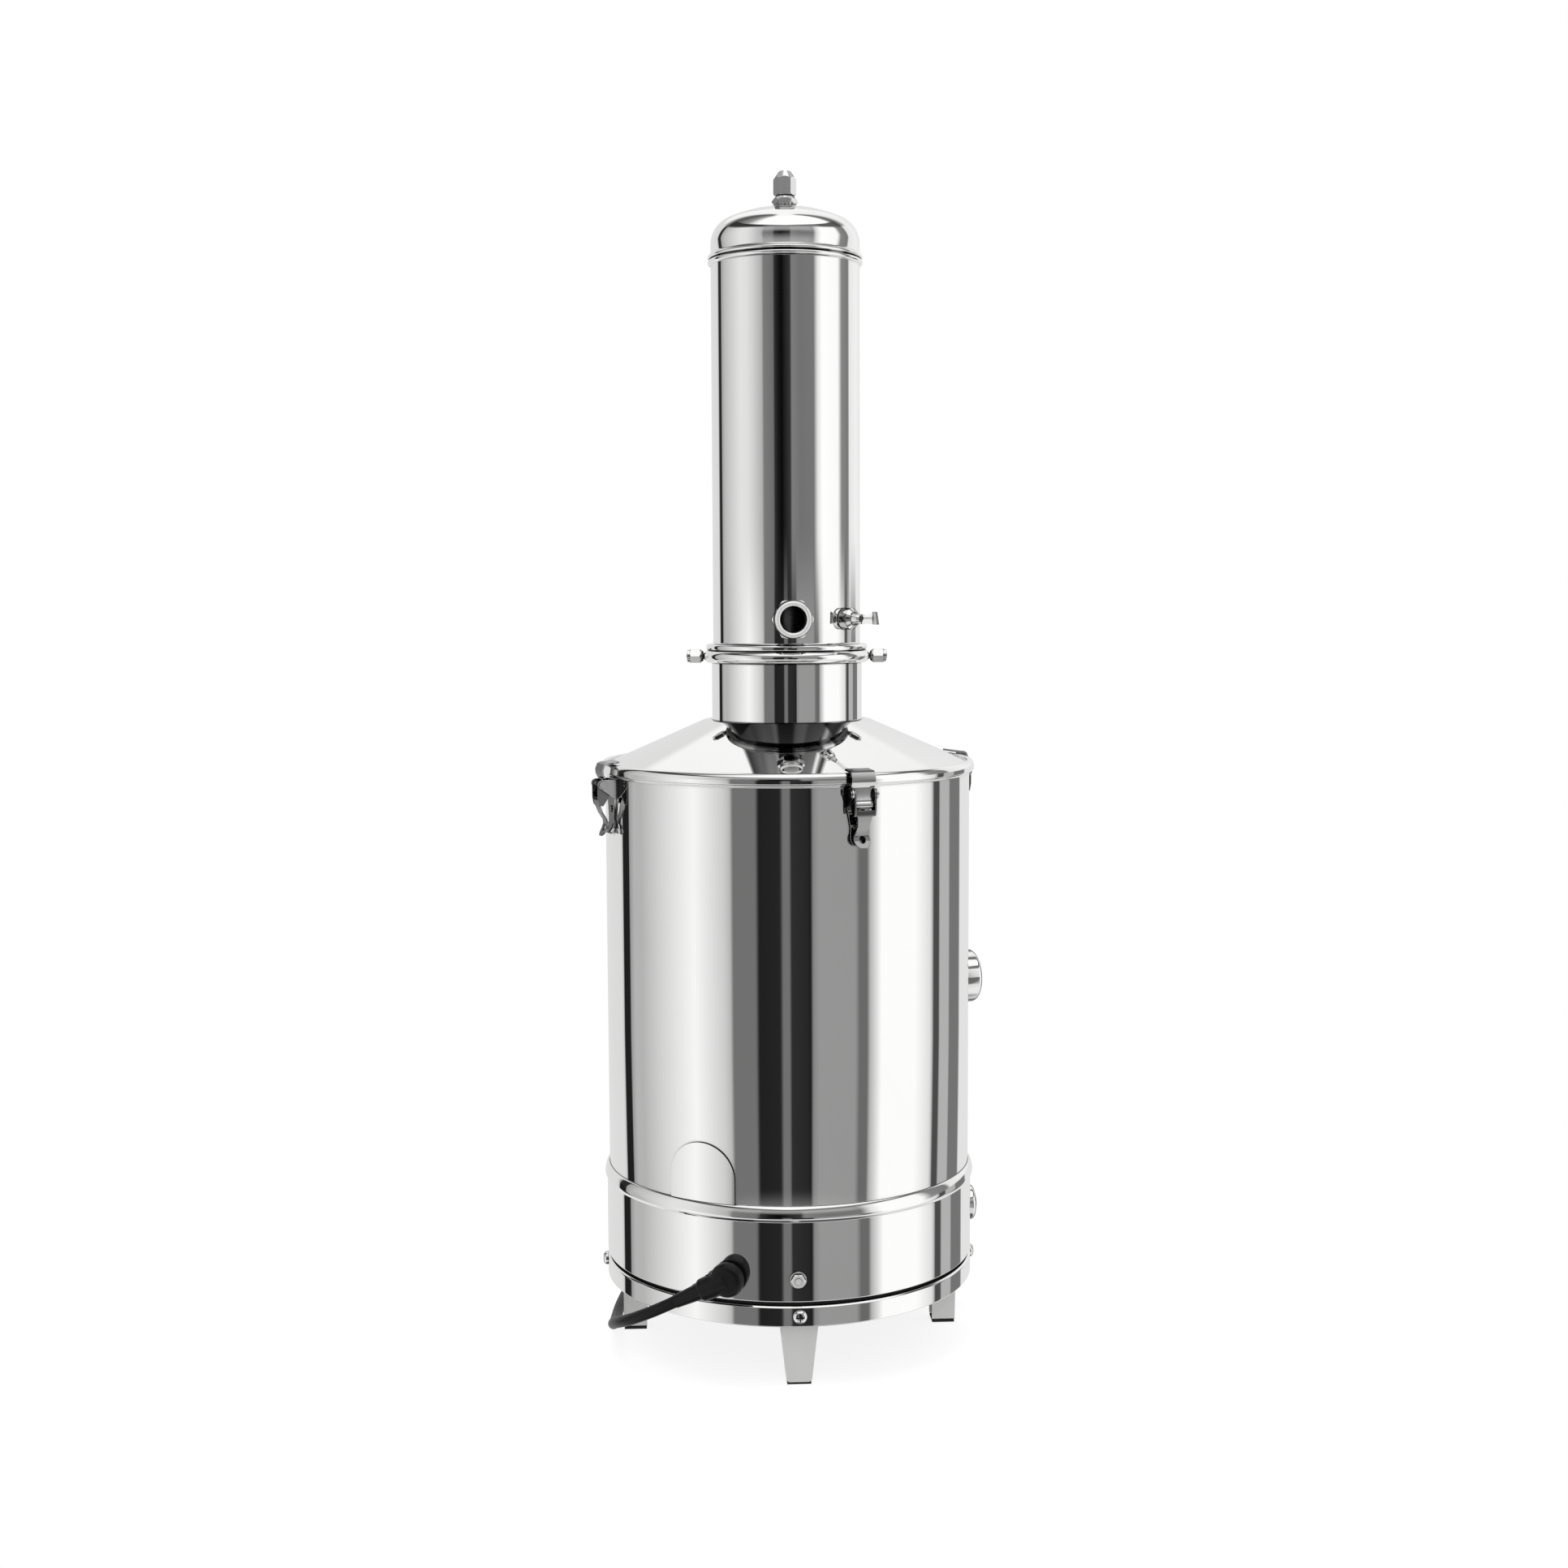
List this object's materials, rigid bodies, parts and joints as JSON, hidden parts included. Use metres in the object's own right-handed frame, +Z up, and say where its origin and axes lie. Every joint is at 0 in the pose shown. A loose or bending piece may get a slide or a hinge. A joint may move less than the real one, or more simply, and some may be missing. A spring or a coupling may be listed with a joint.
{
  "type": "countertop water distiller",
  "caption": "Polished steel countertop distiller: round boiler on legs, conical lid with toggle latches, domed condenser tower, ports, petcock and mains lead.",
  "frame": {"origin": "on the boiler's vertical axis at the floor", "axes": "+Z up along the axis of boiler and tower; -Y towards the user, the front leg and water port 3 to 4 degrees to the right of it; +X to the user's right, where the sight glass and power button are"},
  "size_m": [0.2577, 0.3883, 0.7592],
  "materials": {
    "polished_steel": "mirror polished stainless sheet",
    "leg_steel": "bright bent sheet",
    "latch_steel": "bright pressed steel",
    "small_steel": "turned and polished",
    "inner_steel": "plain mill finish",
    "brass_fittings": "turned",
    "clear_glass": "clear",
    "white_silicone": "satin moulded",
    "black_rubber": "matte moulded",
    "black_plastic": "moulded with a soft gloss",
    "cord_black": "satin PVC sheath",
    "tie_fabric": "hook and loop strap"
  },
  "bodies": {
    "base": {"boiler_shell": "polished_steel", "base_band": "polished_steel", "base_pan": "inner_steel", "base_ring": "polished_steel", "leg_front": "leg_steel", "leg_right": "leg_steel", "leg_back": "leg_steel", "leg_left": "leg_steel", "foot_pads": "black_rubber", "leg_screws": "small_steel", "earth_terminal": "small_steel", "arch_cover": "polished_steel", "inlet_socket": "black_plastic", "button_bezel": "small_steel", "sight_bezel": "small_steel", "sight_gasket": "black_rubber", "sight_glass": "clear_glass", "sight_nut": "small_steel", "heating_element": "inner_steel", "element_nuts": "brass_fittings", "temperature_probe": "inner_steel", "thermal_cutout": "black_plastic", "latch_pins": "latch_steel", "latch_rivets": "latch_steel", "connector": "black_plastic", "cord_boot": "black_rubber", "cord": "cord_black", "cord_coil": "cord_black", "coil_tie": "tie_fabric", "plug": "black_plastic", "latch_base_1": "latch_steel", "latch_base_2": "latch_steel", "latch_base_3": "latch_steel", "latch_base_4": "latch_steel"},
    "lid": {"lid_cone": "polished_steel", "lid_gasket": "white_silicone", "lower_column": "polished_steel", "clamp_ring": "polished_steel", "clamp_screws": "small_steel", "tower_shell": "polished_steel", "tower_dome": "polished_steel", "vent_nut": "small_steel", "vent_cap": "small_steel", "port_nut": "small_steel", "port_nozzle": "small_steel", "petcock_body": "small_steel", "collector_tray": "inner_steel", "condenser_core": "inner_steel", "steam_baffle": "inner_steel"},
    "petcock_key": {"petcock_key": "small_steel"},
    "power_button": {"power_button": "small_steel"},
    "lever_1": {"latch_lever_1": "latch_steel"},
    "claw_1": {"latch_claw_1": "latch_steel"},
    "lever_2": {"latch_lever_2": "latch_steel"},
    "claw_2": {"latch_claw_2": "latch_steel"},
    "lever_3": {"latch_lever_3": "latch_steel"},
    "claw_3": {"latch_claw_3": "latch_steel"},
    "lever_4": {"latch_lever_4": "latch_steel"},
    "claw_4": {"latch_claw_4": "latch_steel"}
  },
  "joints": [
    {"name": "lid_lift", "type": "slide", "parent": "base", "child": "lid", "axis": [0, 0, 1], "range_m": [0, 0.15]},
    {"name": "lever_1_hinge", "type": "hinge", "parent": "base", "child": "lever_1", "pos_m": [0.04594, -0.11968, 0.3693], "axis": [-0.9336, -0.3584, 0], "range_deg": [0, 100]},
    {"name": "claw_1_hinge", "type": "hinge", "parent": "lever_1", "child": "claw_1", "pos_m": [0.04544, -0.11838, 0.3626], "axis": [-0.9336, -0.3584, 0], "range_deg": [-120, 0]},
    {"name": "lever_2_hinge", "type": "hinge", "parent": "base", "child": "lever_2", "pos_m": [0.11968, 0.04594, 0.3693], "axis": [0.3584, -0.9336, 0], "range_deg": [0, 100]},
    {"name": "claw_2_hinge", "type": "hinge", "parent": "lever_2", "child": "claw_2", "pos_m": [0.11838, 0.04544, 0.3626], "axis": [0.3584, -0.9336, 0], "range_deg": [-120, 0]},
    {"name": "lever_3_hinge", "type": "hinge", "parent": "base", "child": "lever_3", "pos_m": [-0.04594, 0.11968, 0.3693], "axis": [0.9336, 0.3584, 0], "range_deg": [0, 100]},
    {"name": "claw_3_hinge", "type": "hinge", "parent": "lever_3", "child": "claw_3", "pos_m": [-0.04544, 0.11838, 0.3626], "axis": [0.9336, 0.3584, 0], "range_deg": [-120, 0]},
    {"name": "lever_4_hinge", "type": "hinge", "parent": "base", "child": "lever_4", "pos_m": [-0.11968, -0.04594, 0.3693], "axis": [-0.3584, 0.9336, 0], "range_deg": [0, 100]},
    {"name": "claw_4_hinge", "type": "hinge", "parent": "lever_4", "child": "claw_4", "pos_m": [-0.11838, -0.04544, 0.3626], "axis": [-0.3584, 0.9336, 0], "range_deg": [-120, 0]},
    {"name": "petcock_turn", "type": "hinge", "parent": "lid", "child": "petcock_key", "pos_m": [0.04596, -0.03857, 0.47334], "axis": [0.766, -0.6428, 0], "range_deg": [0, 90]},
    {"name": "power_press", "type": "slide", "parent": "base", "child": "power_button", "axis": [-0.989, -0.1478, 0], "range_m": [0, 0.0025], "stiffness_N_per_m": 600}
  ],
  "couplings": [
    {"joint": "claw_1_hinge", "follows": "lever_1_hinge", "ratio": -1.2},
    {"joint": "claw_2_hinge", "follows": "lever_2_hinge", "ratio": -1.2},
    {"joint": "claw_3_hinge", "follows": "lever_3_hinge", "ratio": -1.2},
    {"joint": "claw_4_hinge", "follows": "lever_4_hinge", "ratio": -1.2}
  ]
}
